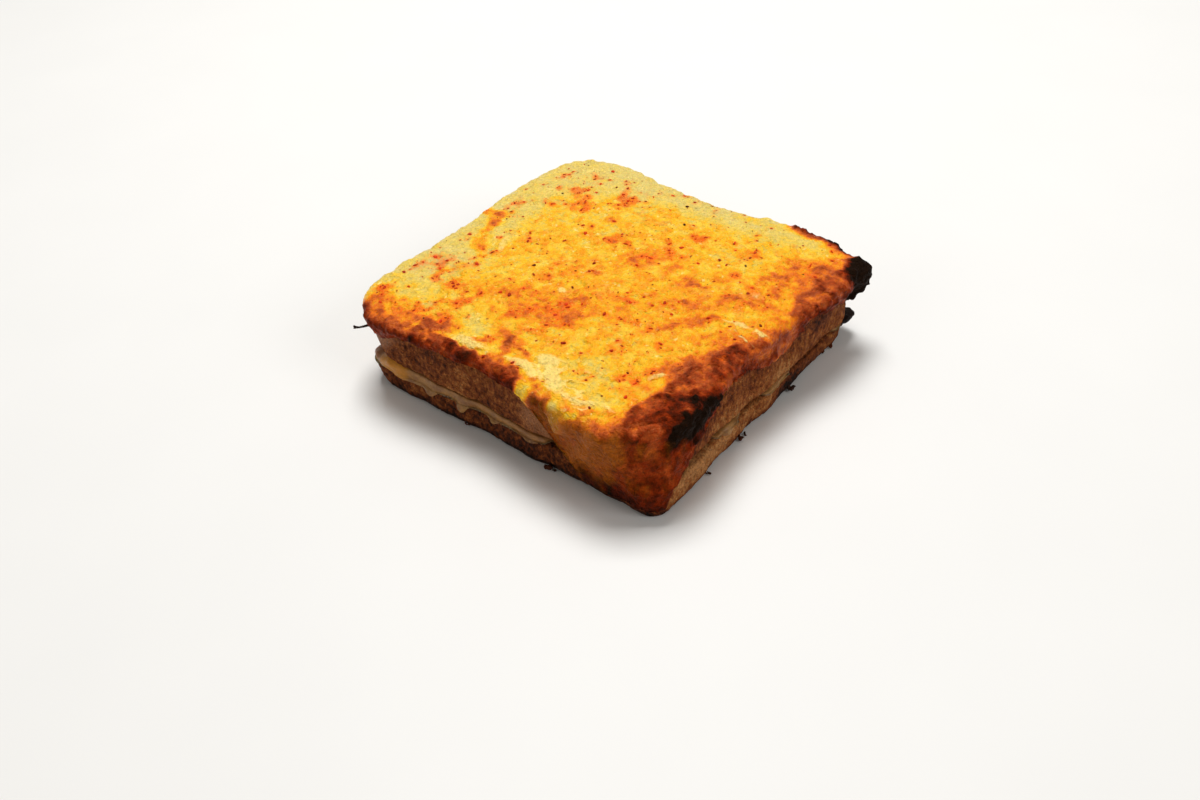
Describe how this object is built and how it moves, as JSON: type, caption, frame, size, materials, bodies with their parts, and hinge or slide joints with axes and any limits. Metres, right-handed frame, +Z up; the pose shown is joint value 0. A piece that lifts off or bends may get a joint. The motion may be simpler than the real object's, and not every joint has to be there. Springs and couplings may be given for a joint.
{
  "type": "croque monsieur",
  "caption": "Square toasted bread sandwich with a creamy filling at its sides and a browned, bubbly cheese top that runs down over one corner.",
  "frame": {"origin": "below the middle of the sandwich's box, on the flat underside of the lower slice", "axes": "+Z up through the layers, X and Y along the sides of the slices; the corner where the cheese runs down is at +X -Y, and the charred tab is at +X +Y"},
  "size_m": [0.133, 0.1276, 0.0319],
  "materials": {
    "lower_bread": "toasted bread crust, matte and porous, darker at its foot",
    "filling": "creamy white sauce with melted cheese, softly glossy",
    "upper_bread": "toasted bread crust, matte and porous",
    "cheese": "melted and browned cheese, glossy where pale, rough and dark where toasted"
  },
  "bodies": {
    "root": {"bread_lower": "lower_bread", "filling": "filling", "bread_upper": "upper_bread", "cheese_top": "cheese"}
  },
  "joints": []
}
